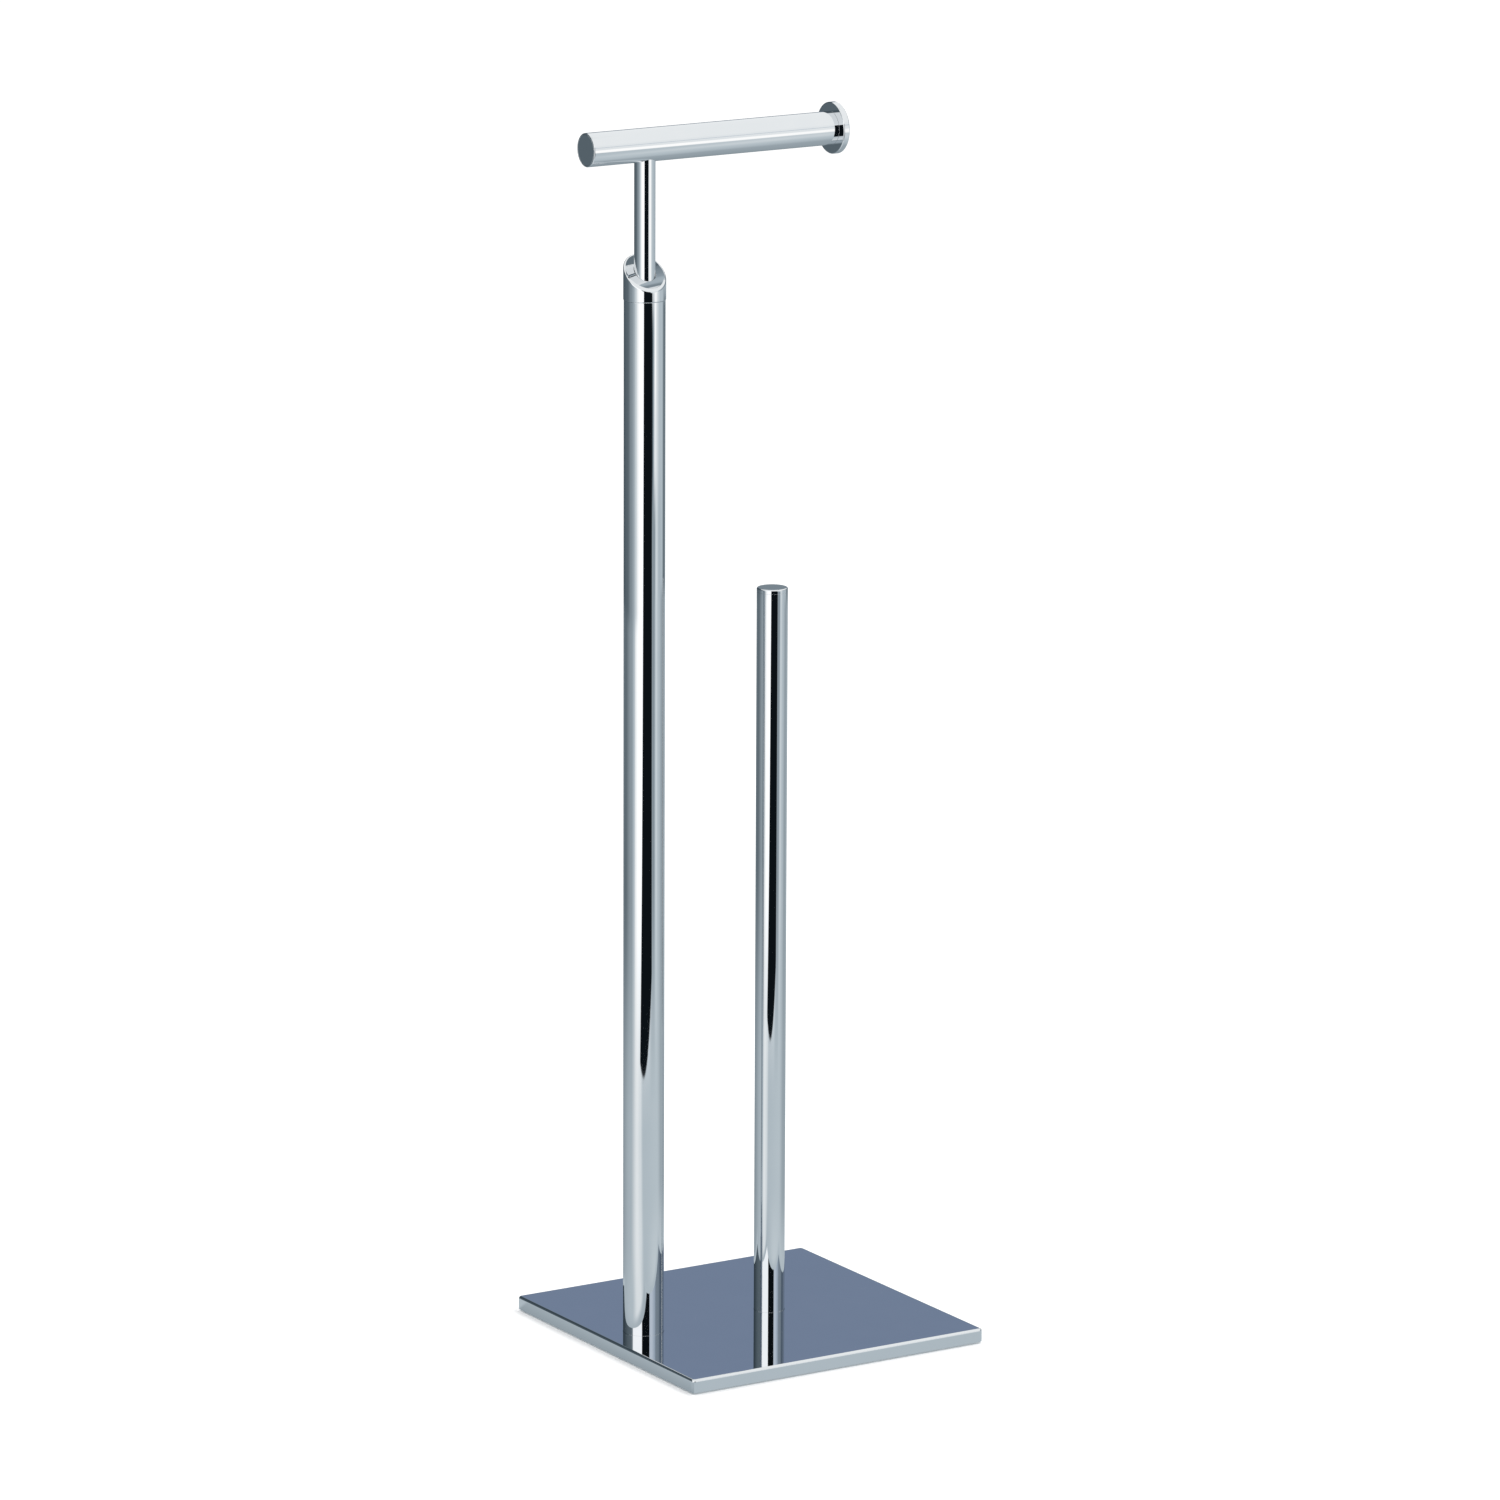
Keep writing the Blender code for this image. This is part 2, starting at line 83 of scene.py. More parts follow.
# ------------------------------------------------------------------- mesh helpers
def outline(corners, steps=8, hold=0.06 * MM):
    """Closed outline from (radius, height, rounding) corners. A rounded corner becomes an arc,
    with a holding point on each side that keeps the flats flat."""
    out = []
    n = len(corners)
    for i, (x, y, r) in enumerate(corners):
        p = Vector((x, y))
        if r <= 0.0:
            out.append((p.x, p.y))
            continue
        a = Vector(corners[i - 1][:2])
        b = Vector(corners[(i + 1) % n][:2])
        u, v = (a - p).normalized(), (b - p).normalized()
        half = u.angle(v) / 2
        t = r / math.tan(half)
        mid = (u + v).normalized()
        c = p + mid * (r / math.sin(half))
        start, end = p + u * t, p + v * t
        if (a - p).length > t + 2 * hold:
            out.append(tuple(p + u * (t + hold)))
        va, vb = start - c, end - c
        a0 = math.atan2(va.y, va.x)
        sweep = math.atan2(vb.y, vb.x) - a0
        sweep = (sweep + math.pi) % (2 * math.pi) - math.pi
        for k in range(steps + 1):
            s = a0 + sweep * k / steps
            out.append((c.x + r * math.cos(s), c.y + r * math.sin(s)))
        if (b - p).length > t + 2 * hold:
            out.append(tuple(p + v * (t + hold)))
    return out


def turned(points, segs=SEGS, shape=None):
    """Mesh turned about Z from a closed outline of (radius, height)."""
    bm = bmesh.new()
    rings = []
    for r, z in points:
        if r < 1e-9:
            rings.append([bm.verts.new((0.0, 0.0, z))])
        else:
            rings.append([bm.verts.new((r * math.cos(2 * math.pi * k / segs),
                                        r * math.sin(2 * math.pi * k / segs), z)) for k in range(segs)])
    for i, a in enumerate(rings):
        b = rings[(i + 1) % len(rings)]
        if len(a) == 1 and len(b) == 1:
            continue
        for k in range(segs):
            j = (k + 1) % segs
            if len(a) == 1:
                bm.faces.new((a[0], b[k], b[j]))
            elif len(b) == 1:
                bm.faces.new((a[k], b[0], a[j]))
            else:
                bm.faces.new((a[k], b[k], b[j], a[j]))
    if shape:
        for v in bm.verts:
            v.co = shape(v.co.copy())
    bmesh.ops.recalc_face_normals(bm, faces=bm.faces[:])
    if bm.calc_volume(signed=True) < 0:
        bmesh.ops.reverse_faces(bm, faces=bm.faces[:])
    return bm


def shade(mesh, angle=30.0, flats=()):
    """Smooth, with sharp edges by angle; large flats that face one of the given directions stay exactly flat."""
    mesh.shade_smooth()
    mesh.set_sharp_from_angle(angle=math.radians(angle))
    for p in mesh.polygons:
        if any(p.normal.dot(Vector(d)) > 0.999999 for d in flats):
            p.use_smooth = False


def piece(name, bm, body, replaced=(), matrix=None, flats=((0, 0, 1), (0, 0, -1)), angle=30.0):
    if matrix is not None:
        bm.transform(matrix)
        flats = [(matrix.to_3x3() @ Vector(d)).normalized() for d in flats]
    mesh = bpy.data.meshes.new(name)
    bm.to_mesh(mesh)
    bm.free()
    shade(mesh, angle, flats)
    ob = bpy.data.objects.new(name, mesh)
    scene.collection.objects.link(ob)
    ob["flats"] = [list(d) for d in flats]
    if replaced:
        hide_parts(*replaced)
    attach(ob, body)
    return ob


def cut(ob, tools, angle=30.0):
    """Cuts the tool meshes out of the piece and removes the tools."""
    made = []
    for bm in tools:
        mesh = bpy.data.meshes.new("tool")
        bm.to_mesh(mesh)
        bm.free()
        t = bpy.data.objects.new("tool", mesh)
        scene.collection.objects.link(t)
        made.append(t)
        m = ob.modifiers.new("cut", 'BOOLEAN')
        m.operation = 'DIFFERENCE'
        m.solver = 'EXACT'
        m.object = t
    bpy.context.view_layer.update()
    dg = bpy.context.evaluated_depsgraph_get()
    mesh = bpy.data.meshes.new_from_object(ob.evaluated_get(dg), depsgraph=dg)
    ob.modifiers.clear()
    old = ob.data
    ob.data = mesh
    mesh.name = ob.name
    bpy.data.meshes.remove(old)
    for t in made:
        data = t.data
        bpy.data.objects.remove(t)
        bpy.data.meshes.remove(data)
    shade(mesh, angle, [tuple(d) for d in ob["flats"]])


def rod(r, z0, z1, segs=96, matrix=None):
    bm = turned([(0.0, z0), (r, z0), (r, z1), (0.0, z1)], segs)
    if matrix is not None:
        bm.transform(matrix)
    return bm


def at(x=0.0, y=0.0, z=0.0):
    return Matrix.Translation((x, y, z))


ALONG_X = Matrix.Rotation(math.pi / 2, 4, 'Y')


# ------------------------------------------------------------------- material helpers
class Net:
    """Small helper to write node trees."""

    def __init__(self, tree):
        self.t = tree
        self.n = tree.nodes

    def add(self, kind, **kw):
        nd = self.n.new(kind)
        for k, v in kw.items():
            setattr(nd, k, v)
        return nd

    def link(self, a, b):
        self.t.links.new(a, b)

    def put(self, sock, v):
        if hasattr(v, "is_linked") or isinstance(v, bpy.types.NodeSocket):
            self.link(v, sock)
        else:
            sock.default_value = v

    def math(self, op, a, b=None, clamp=False):
        nd = self.add('ShaderNodeMath', operation=op, use_clamp=clamp)
        self.put(nd.inputs[0], a)
        if b is not None:
            self.put(nd.inputs[1], b)
        return nd.outputs[0]

    def step(self, v, lo, hi, a=0.0, b=1.0):
        """Smooth step of v from lo to hi, giving a to b."""
        nd = self.add('ShaderNodeMapRange', interpolation_type='SMOOTHSTEP')
        self.put(nd.inputs['Value'], v)
        nd.inputs['From Min'].default_value = lo
        nd.inputs['From Max'].default_value = hi
        nd.inputs['To Min'].default_value = a
        nd.inputs['To Max'].default_value = b
        return nd.outputs[0]

    def fit(self, v, lo, hi, a, b):
        nd = self.add('ShaderNodeMapRange')
        self.put(nd.inputs['Value'], v)
        nd.inputs['From Min'].default_value = lo
        nd.inputs['From Max'].default_value = hi
        nd.inputs['To Min'].default_value = a
        nd.inputs['To Max'].default_value = b
        return nd.outputs[0]

    def mix(self, f, a, b, blend='MIX'):
        nd = self.add('ShaderNodeMix', data_type='RGBA', blend_type=blend, clamp_factor=True)
        self.put(nd.inputs[0], f)
        self.put(nd.inputs[6], a)
        self.put(nd.inputs[7], b)
        return nd.outputs[2]

    def ramp(self, f, stops, mode='EASE'):
        nd = self.add('ShaderNodeValToRGB')
        cr = nd.color_ramp
        cr.interpolation = mode
        while len(cr.elements) > 1:
            cr.elements.remove(cr.elements[-1])
        cr.elements[0].position = stops[0][0]
        cr.elements[0].color = tuple(stops[0][1]) + (1.0,)
        for p, c in stops[1:]:
            e = cr.elements.new(p)
            e.color = tuple(c) + (1.0,)
        self.put(nd.inputs[0], f)
        return nd.outputs[0]

    def noise(self, co, scale, detail=4.0, rough=0.5, distort=0.0):
        nd = self.add('ShaderNodeTexNoise')
        self.put(nd.inputs['Vector'], co)
        nd.inputs['Scale'].default_value = scale
        nd.inputs['Detail'].default_value = detail
        nd.inputs['Roughness'].default_value = rough
        nd.inputs['Distortion'].default_value = distort
        return nd.outputs['Fac']

    def stretch(self, co, sx, sy, sz):
        nd = self.add('ShaderNodeMapping')
        self.put(nd.inputs['Vector'], co)
        nd.inputs['Scale'].default_value = (sx, sy, sz)
        return nd.outputs[0]

    def bump(self, height, strength, distance, normal=None):
        nd = self.add('ShaderNodeBump')
        self.put(nd.inputs['Height'], height)
        nd.inputs['Strength'].default_value = strength
        nd.inputs['Distance'].default_value = distance
        if normal is not None:
            self.link(normal, nd.inputs['Normal'])
        return nd.outputs[0]


def new_material(name):
    m = bpy.data.materials.new(name)
    m.use_nodes = True
    net = Net(m.node_tree)
    return m, net, m.node_tree.nodes["Principled BSDF"]


CHROME = (0.78, 0.80, 0.82)


def chrome(name, lines=(1.0, 1.0, 1.0), haze=1.0):
    """Mirror chrome plate: faint cleaning haze, hair-fine polishing lines and a trace of waviness."""
    m, net, bsdf = new_material(name)
    co = net.add('ShaderNodeTexCoord').outputs['Object']
    bsdf.inputs['Metallic'].default_value = 1.0
    cloud = net.noise(co, 34.0, 5.0, 0.55, 0.6)
    tint = net.ramp(net.fit(cloud, 0.3, 0.7, 0.0, 1.0),
                    [(0.0, (0.770, 0.792, 0.812)), (0.55, CHROME), (1.0, (0.792, 0.808, 0.826))], 'LINEAR')
    net.link(tint, bsdf.inputs['Base Color'])
    smear = net.step(net.noise(co, 21.0, 6.0, 0.6, 1.2), 0.50, 0.74)
    hair = net.noise(net.stretch(co, *lines), 1.0, 3.0, 0.6)
    hair_mask = net.step(hair, 0.57, 0.72)
    rough = net.math('ADD', 0.022, net.math('MULTIPLY', smear, 0.030 * haze))
    rough = net.math('ADD', rough, net.math('MULTIPLY', hair_mask, 0.018 * haze))
    net.link(rough, bsdf.inputs['Roughness'])
    wave = net.noise(co, 55.0, 2.0, 0.4)
    b1 = net.bump(wave, 0.06, 0.00004)
    b2 = net.bump(hair, 0.05, 0.000003, b1)
    net.link(b2, bsdf.inputs['Normal'])
    return m


def zinc(name):
    """Zinc plated steel: turning rings, cloudy grey, a faint yellow and blue cast."""
    m, net, bsdf = new_material(name)
    co = net.add('ShaderNodeTexCoord').outputs['Object']
    bsdf.inputs['Metallic'].default_value = 1.0
    cloud = net.noise(co, 160.0, 6.0, 0.6, 0.8)
    cast = net.noise(co, 45.0, 2.0, 0.5)
    base = net.ramp(cloud, [(0.25, (0.43, 0.44, 0.46)), (0.5, (0.55, 0.56, 0.58)), (0.78, (0.64, 0.65, 0.66))], 'LINEAR')
    warm = net.mix(net.step(cast, 0.48, 0.66), base, (0.60, 0.57, 0.46, 1.0))
    net.link(warm, bsdf.inputs['Base Color'])
    rings = net.noise(net.stretch(co, 60.0, 60.0, 2600.0), 1.0, 3.0, 0.6)
    grit = net.noise(co, 1800.0, 3.0, 0.6)
    net.link(net.math('ADD', net.fit(cloud, 0.2, 0.8, 0.24, 0.40), net.math('MULTIPLY', rings, 0.10)),
             bsdf.inputs['Roughness'])
    net.link(net.bump(grit, 0.12, 0.00002, net.bump(rings, 0.20, 0.00003)), bsdf.inputs['Normal'])
    return m


def spring_steel(name):
    """Rolled strip: dark, with streaks along it and a trace of temper colour."""
    m, net, bsdf = new_material(name)
    co = net.add('ShaderNodeTexCoord').outputs['Object']
    bsdf.inputs['Metallic'].default_value = 1.0
    streak = net.noise(net.stretch(co, 900.0, 900.0, 6000.0), 1.0, 4.0, 0.6)
    cloud = net.noise(co, 220.0, 4.0, 0.55)
    base = net.ramp(cloud, [(0.3, (0.33, 0.33, 0.36)), (0.55, (0.42, 0.42, 0.44)), (0.8, (0.47, 0.44, 0.40))], 'LINEAR')
    net.link(base, bsdf.inputs['Base Color'])
    net.link(net.fit(streak, 0.25, 0.75, 0.22, 0.42), bsdf.inputs['Roughness'])
    net.link(net.bump(streak, 0.15, 0.00002), bsdf.inputs['Normal'])
    return m


def brass(name):
    """Turned brass with tool rings and slight tarnish."""
    m, net, bsdf = new_material(name)
    co = net.add('ShaderNodeTexCoord').outputs['Object']
    bsdf.inputs['Metallic'].default_value = 1.0
    cloud = net.noise(co, 130.0, 5.0, 0.6, 0.5)
    base = net.ramp(cloud, [(0.25, (0.55, 0.39, 0.17)), (0.5, (0.72, 0.55, 0.26)), (0.8, (0.80, 0.64, 0.34))], 'LINEAR')
    net.link(base, bsdf.inputs['Base Color'])
    rings = net.noise(net.stretch(co, 80.0, 80.0, 3200.0), 1.0, 3.0, 0.6)
    net.link(net.math('ADD', net.fit(cloud, 0.2, 0.8, 0.34, 0.20), net.math('MULTIPLY', rings, 0.10)),
             bsdf.inputs['Roughness'])
    net.link(net.bump(rings, 0.25, 0.00003), bsdf.inputs['Normal'])
    return m


def nylon(name):
    """Natural nylon: milky, slightly mottled, with a fine machined grain."""
    m, net, bsdf = new_material(name)
    co = net.add('ShaderNodeTexCoord').outputs['Object']
    cloud = net.noise(co, 240.0, 4.0, 0.5)
    base = net.ramp(cloud, [(0.3, (0.78, 0.77, 0.72)), (0.6, (0.82, 0.81, 0.77)), (0.85, (0.85, 0.84, 0.81))], 'LINEAR')
    net.link(base, bsdf.inputs['Base Color'])
    grain = net.noise(net.stretch(co, 300.0, 300.0, 2400.0), 1.0, 3.0, 0.6)
    net.link(net.fit(grain, 0.25, 0.75, 0.36, 0.52), bsdf.inputs['Roughness'])
    bsdf.inputs['Subsurface Weight'].default_value = 0.08
    bsdf.inputs['Subsurface Radius'].default_value = (0.0012, 0.0010, 0.0008)
    net.link(net.bump(grain, 0.15, 0.00003), bsdf.inputs['Normal'])
    return m


def rubber(name):
    """Moulded rubber: near black, fine stipple, a little pale dust in patches."""
    m, net, bsdf = new_material(name)
    co = net.add('ShaderNodeTexCoord').outputs['Object']
    dust = net.step(net.noise(co, 120.0, 6.0, 0.65, 0.8), 0.50, 0.78)
    base = net.mix(net.math('MULTIPLY', dust, 0.35), (0.028, 0.028, 0.030, 1.0), (0.085, 0.082, 0.078, 1.0))
    net.link(base, bsdf.inputs['Base Color'])
    stipple = net.noise(co, 1500.0, 3.0, 0.6)
    net.link(net.fit(dust, 0.0, 1.0, 0.58, 0.82), bsdf.inputs['Roughness'])
    bsdf.inputs['Specular IOR Level'].default_value = 0.35
    net.link(net.bump(stipple, 0.35, 0.00006), bsdf.inputs['Normal'])
    return m


# ------------------------------------------------------------------- base plate
def square_ring(bm, inset, z, arc_steps=14):
    """Ring of vertices: the plate's outline moved inwards by inset."""
    half = PLATE_HALF - inset
    r = max(PLATE_CORNER - inset, 0.4 * MM)
    out = []
    for sx, sy, a0 in ((1, 1, 0), (-1, 1, 90), (-1, -1, 180), (1, -1, 270)):
        cx, cy = PLATE_CX + sx * (half - r), sy * (half - r)
        for k in range(arc_steps + 1):
            a = math.radians(a0 + 90.0 * k / arc_steps)
            out.append(bm.verts.new((cx + r * math.cos(a), cy + r * math.sin(a), z)))
    return out


def plate_mesh():
    bm = bmesh.new()
    top_r, low_r = 1.5 * MM, 0.5 * MM
    levels = [(low_r + 0.12 * MM, PLATE_Z0)]
    for k in range(5):
        a = math.radians(90.0 * k / 4)
        levels.append((low_r - low_r * math.sin(a), PLATE_Z0 + low_r - low_r * math.cos(a)))
    levels.append((0.0, PLATE_Z0 + low_r + 0.12 * MM))
    levels.append((0.0, PLATE_Z1 - top_r - 0.12 * MM))
    for k in range(9):
        a = math.radians(90.0 * k / 8)
        levels.append((top_r - top_r * math.cos(a), PLATE_Z1 - top_r + top_r * math.sin(a)))
    levels.append((top_r + 0.12 * MM, PLATE_Z1))
    rings = [square_ring(bm, i, z) for i, z in levels]
    n = len(rings[0])
    for a, b in zip(rings, rings[1:]):
        for k in range(n):
            j = (k + 1) % n
            bm.faces.new((a[k], a[j], b[j], b[k]))
    bm.faces.new(list(reversed(rings[0])))
    bm.faces.new(rings[-1])
    bmesh.ops.recalc_face_normals(bm, faces=bm.faces[:])
    if bm.calc_volume(signed=True) < 0:
        bmesh.ops.reverse_faces(bm, faces=bm.faces[:])
    return bm


plate = piece("base_plate_fine", plate_mesh(), "stand", ["base_plate"])
tools = []
for x, shank, tube_r in ((POST_X, 4.0 * MM, TUBE_R), (SPARE_X, 3.0 * MM, SPARE_R)):
    head = 2 * shank
    hx = head + 0.42 * MM
    # countersunk screw hole from below, and the shallow seat of the tube on top
    prof = [(0.0, PLATE_Z0 - MM), (hx, PLATE_Z0 - MM), (hx, PLATE_Z0 + 0.6 * MM),
            (shank + 0.3 * MM, PLATE_Z0 + 0.72 * MM + shank), (shank + 0.3 * MM, PLATE_Z1 - 0.9 * MM),
            (tube_r + 0.10 * MM, PLATE_Z1 - 0.9 * MM), (tube_r + 0.10 * MM, PLATE_Z1 - 0.06 * MM),
            (tube_r + 0.16 * MM, PLATE_Z1), (tube_r + 1.16 * MM, PLATE_Z1 + MM), (0.0, PLATE_Z1 + MM)]
    bm = turned(prof, 192)
    bm.transform(at(x))
    tools.append(bm)
for sx in (-1, 1):
    for sy in (-1, 1):
        tools.append(rod(PAD_R + 0.25 * MM, PLATE_Z0 - MM, PAD_TOP + 0.3 * MM, 96,
                         at(PLATE_CX + sx * PAD_OFF, sy * PAD_OFF)))
cut(plate, tools)

# ------------------------------------------------------------------- main post
TUBE_Z0 = PLATE_Z1 - 0.6 * MM
prof = outline([(TUBE_IN, TUBE_Z0, 0), (TUBE_R, TUBE_Z0, 0.12 * MM), (TUBE_R, SEAM_Z - 0.06 * MM, 0.22 * MM),
                (TUBE_IN, SEAM_Z - 0.06 * MM, 0)], 5)
post = turned(prof)
# rings near the set screw's hole keep its cut short
for z in (598.0 * MM, 610.0 * MM):
    bmesh.ops.bisect_plane(post, geom=post.verts[:] + post.edges[:] + post.faces[:], dist=1e-7,
                           plane_co=(0, 0, z), plane_no=(0, 0, 1))
post_tube = piece("post_tube_fine", post, "stand", ["post_tube"], at(POST_X))
BACKWARDS = Matrix.Rotation(-math.pi / 2, 4, 'X')
cut(post_tube, [rod(2.3 * MM, 0.0, 6.0 * MM, 64, at(POST_X, 9.0 * MM, 604.0 * MM) @ BACKWARDS)])

# ------------------------------------------------------------------- collar
LEAN = math.tan(COLLAR_TILT)
BORE = STEM_R + 0.18 * MM


def lean(co):
    if co.z > SEAM_Z + 0.45 * MM:
        co.z += LEAN * co.y
    return co


rim = []
for k in range(13):
    a = math.radians(90.0 * k / 12)
    rim.append((COLLAR_FACE_R + (COLLAR_R - COLLAR_FACE_R) * math.cos(a),
                COLLAR_FACE_Z - COLLAR_ROUND + COLLAR_ROUND * math.sin(a)))
prof = [(BORE, 616.0 * MM), (8.6 * MM, 616.0 * MM), (8.6 * MM, 594.0 * MM),
        (9.4 * MM, 594.0 * MM), (10.2 * MM, 594.8 * MM), (10.2 * MM, SEAM_Z),
        (12.0 * MM, SEAM_Z), (12.1 * MM, SEAM_Z + 0.02 * MM), (12.22 * MM, SEAM_Z + 0.09 * MM),
        (12.28 * MM, SEAM_Z + 0.18 * MM), (COLLAR_R, SEAM_Z + 0.30 * MM), (COLLAR_R, SEAM_Z + 0.38 * MM),
        (COLLAR_R, COLLAR_FACE_Z - COLLAR_ROUND - 0.10 * MM)]
prof += rim
prof += [(COLLAR_FACE_R - 0.06 * MM, COLLAR_FACE_Z), (BORE + 0.22 * MM, COLLAR_FACE_Z),
         (BORE + 0.15 * MM, COLLAR_FACE_Z), (BORE + 0.04 * MM, COLLAR_FACE_Z - 0.04 * MM),
         (BORE, COLLAR_FACE_Z - 0.15 * MM), (BORE, COLLAR_FACE_Z - 0.25 * MM)]
slope = Vector((0, -math.sin(COLLAR_TILT), math.cos(COLLAR_TILT)))
collar = piece("collar_fine", turned(prof, SEGS, lean), "stand", ["collar"],
               at(POST_X) @ Matrix.Rotation(COLLAR_TURN, 4, 'Z'), flats=(tuple(slope), (0, 0, -1)), angle=32.0)
cut(collar, [rod(2.3 * MM, 0.0, 6.0 * MM, 64, at(POST_X, 7.0 * MM, 604.0 * MM) @ BACKWARDS)], 32.0)

# ------------------------------------------------------------------- spare roll post
prof = outline([(SPARE_IN, TUBE_Z0, 0), (SPARE_R, TUBE_Z0, 0.12 * MM), (SPARE_R, SPARE_SEAM - 0.02 * MM, 0.05 * MM),
                (SPARE_IN, SPARE_SEAM - 0.02 * MM, 0)], 4, 0.03 * MM)
piece("spare_post_tube_fine", turned(prof), "stand", ["spare_post_tube"], at(SPARE_X))
prof = outline([(0.0, SPARE_SEAM - 11.0 * MM, 0), (7.6 * MM, SPARE_SEAM - 11.0 * MM, 0.8 * MM),
                (7.6 * MM, SPARE_SEAM, 0), (SPARE_R, SPARE_SEAM, 0.05 * MM), (SPARE_R, SPARE_Z1, 0.8 * MM),
                (0.0, SPARE_Z1, 0)], 8, 0.03 * MM)
piece("spare_post_cap_fine", turned(prof), "stand", ["spare_post_cap"], at(SPARE_X))

# ------------------------------------------------------------------- stem
prof = outline([(0.0, 592.0 * MM, 0), (5.0 * MM, 592.0 * MM, 0.6 * MM), (5.0 * MM, 611.4 * MM, 0),
                (8.3 * MM, 611.4 * MM, 0.2 * MM), (8.3 * MM, 614.4 * MM, 0.2 * MM), (STEM_R, 614.4 * MM, 0),
                (STEM_R, 706.0 * MM, 0), (0.0, 706.0 * MM, 0)], 4)
stem = piece("stem_fine", turned(prof), "arm", ["stem"], at(POST_X))
cut(stem, [rod(ARM_R + 0.02 * MM, -20.0 * MM, 20.0 * MM, 384, at(POST_X, 0, ARM_Z) @ ALONG_X),
           rod(3.3 * MM, 685.0 * MM, 720.0 * MM, 64, at(POST_X))])

# ------------------------------------------------------------------- roll arm
prof = outline([(ARM_IN, ARM_X0 + 2.3 * MM, 0), (MOUTH_R, ARM_X0 + 2.3 * MM, 0), (MOUTH_R, ARM_X0, 0.10 * MM),
                (ARM_R, ARM_X0, 0.55 * MM), (ARM_R, FLANGE_X0 - 0.05 * MM, 0.10 * MM),
                (ARM_IN, FLANGE_X0 - 0.05 * MM, 0)], 8, 0.04 * MM)
arm_tube = piece("arm_tube_fine", turned(prof), "arm", ["arm_tube"],
                 at(0, 0, ARM_Z) @ ALONG_X)
cut(arm_tube, [rod(3.3 * MM, -14.0 * MM, -5.0 * MM, 64, at(POST_X, 0, ARM_Z))])

prof = outline([(0.0, ARM_X0, 0), (MOUTH_R - 0.05 * MM, ARM_X0, 0.12 * MM), (MOUTH_R - 0.05 * MM, ARM_X0 + 2.2 * MM, 0),
                (7.95 * MM, ARM_X0 + 2.2 * MM, 0), (7.95 * MM, ARM_X0 + 10.0 * MM, 0.6 * MM),
                (0.0, ARM_X0 + 10.0 * MM, 0)], 6, 0.04 * MM)
piece("arm_end_cap_fine", turned(prof), "arm", ["arm_end_cap"], at(0, 0, ARM_Z) @ ALONG_X)

sp0 = FLANGE_X0 - 14.0 * MM
prof = outline([(0.0, FLANGE_X0 + 1.2 * MM, 0), (3.3 * MM, FLANGE_X0 + 0.2 * MM, 0), (3.3 * MM, sp0, 0),
                (7.95 * MM, sp0, 0.6 * MM), (7.95 * MM, FLANGE_X0, 0), (FLANGE_R, FLANGE_X0, 0.6 * MM),
                (FLANGE_R, FLANGE_X1, 0.6 * MM), (0.0, FLANGE_X1, 0)], 8, 0.05 * MM)
piece("arm_flange_fine", turned(prof), "arm", ["arm_flange"], at(0, 0, ARM_Z) @ ALONG_X)


# ------------------------------------------------------------------- feet
def pad_profile():
    """Foot with a rounded lip and two fine grooves in its sole."""
    pts = [(0.0, 0.0)]
    for r in (3.6 * MM, 5.4 * MM):
        pts += [(r - 0.35 * MM, 0.0), (r - 0.22 * MM, 0.22 * MM), (r + 0.22 * MM, 0.22 * MM), (r + 0.35 * MM, 0.0)]
    pts += [(PAD_R - 0.45 * MM, 0.0), (PAD_R - 0.22 * MM, 0.06 * MM), (PAD_R - 0.06 * MM, 0.22 * MM),
            (PAD_R, 0.45 * MM), (PAD_R, PAD_TOP - 0.1 * MM), (PAD_R - 0.1 * MM, PAD_TOP), (0.0, PAD_TOP)]
    return pts


for tag, sx, sy in (("front_left", -1, -1), ("front_right", 1, -1), ("rear_left", -1, 1), ("rear_right", 1, 1)):
    ob = piece("foot_pad_%s_fine" % tag, turned(pad_profile(), 96), "stand", ["foot_pad_" + tag],
               at(PLATE_CX + sx * PAD_OFF, sy * PAD_OFF), angle=40.0)

# ------------------------------------------------------------------- finishes
chrome_flat = chrome("chrome_plate_top", (70.0, 900.0, 900.0), 1.0)
chrome_up = chrome("chrome_posts", (1500.0, 1500.0, 30.0), 0.9)
chrome_arm = chrome("chrome_arm", (30.0, 1500.0, 1500.0), 0.9)
chrome_disc = chrome("chrome_turned", (700.0, 700.0, 700.0), 0.8)
finish = {
    "base_plate_fine": chrome_flat,
    "post_tube_fine": chrome_up, "collar_fine": chrome_disc,
    "spare_post_tube_fine": chrome_up, "spare_post_cap_fine": chrome_disc,
    "stem_fine": chrome_up, "arm_tube_fine": chrome_arm,
    "arm_end_cap_fine": chrome_disc, "arm_flange_fine": chrome_disc,
}
foot = rubber("foot_rubber_moulded")
for tag in ("front_left", "front_right", "rear_left", "rear_right"):
    finish["foot_pad_%s_fine" % tag] = foot
for name, mat in finish.items():
    ob = bpy.data.objects[name]
    ob.data.materials.clear()
    ob.data.materials.append(mat)

zinc_mat, spring_mat = zinc("zinc_plated"), spring_steel("spring_strip")
brass_mat, nylon_mat = brass("brass_turned"), nylon("nylon_natural")
for name, mat in (("post_foot_plug", zinc_mat), ("post_base_screw", zinc_mat), ("collar_grub_screw", zinc_mat),
                  ("spare_post_foot_plug", zinc_mat), ("spare_post_base_screw", zinc_mat),
                  ("arm_hub", zinc_mat), ("arm_hub_stud", zinc_mat), ("flange_stud", zinc_mat),
                  ("swivel_thrust_washer", nylon_mat), ("swivel_wave_spring", spring_mat),
                  ("swivel_retainer", brass_mat), ("arm_end_insert", brass_mat)):
    ob = nodes[name]
    if not ob.material_slots:
        ob.data.materials.append(mat)
    for s in ob.material_slots:
        s.material = mat

